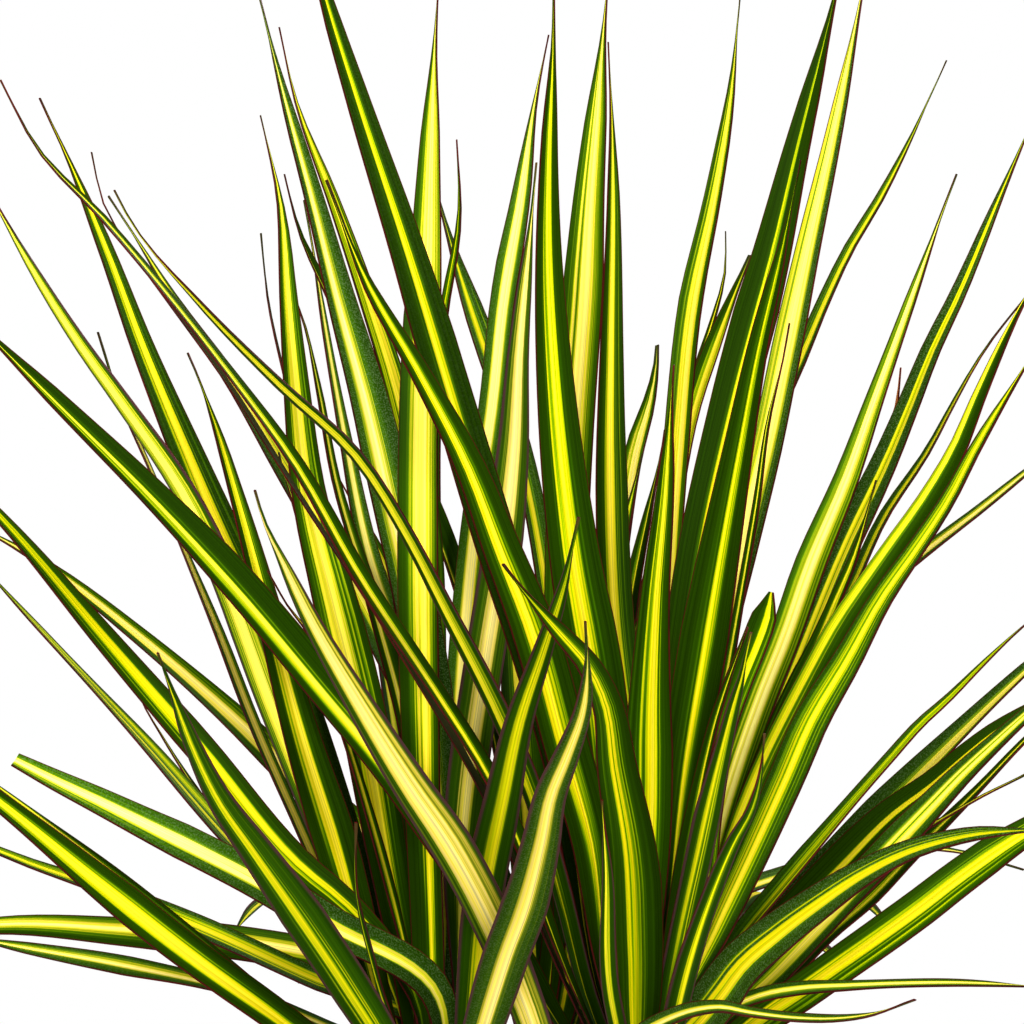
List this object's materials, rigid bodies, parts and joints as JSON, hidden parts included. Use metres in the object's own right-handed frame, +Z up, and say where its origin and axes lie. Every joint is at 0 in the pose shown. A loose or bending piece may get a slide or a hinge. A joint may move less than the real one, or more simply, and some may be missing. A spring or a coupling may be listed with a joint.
{
  "type": "potted sunray madagascar dragon tree",
  "caption": "Potted dragon tree: woody canes rise from soil in a plain clay pot and carry crowns of long arching sword leaves, green with a yellow stripe and thin red edges.",
  "frame": {"origin": "centre of the flat underside of the pot", "axes": "+Z up along the pot's axis, -Y towards the viewer of the picture, +X to that viewer's right"},
  "size_m": [0.619, 0.6273, 0.7378],
  "materials": {
    "clay": "unglazed terracotta, dry and matt",
    "soil": "moist dark potting mix with bark and white grit",
    "cane": "grey-brown bark with ring scars",
    "leaf": "satin leaf with a yellow centre stripe, green margins and dark red edges"
  },
  "bodies": {
    "root": {"pot": "clay", "soil": "soil", "cane_left": "cane", "cane_right": "cane", "cane_back": "cane", "crown_left": "leaf", "crown_right": "leaf", "crown_back": "leaf"}
  },
  "joints": []
}
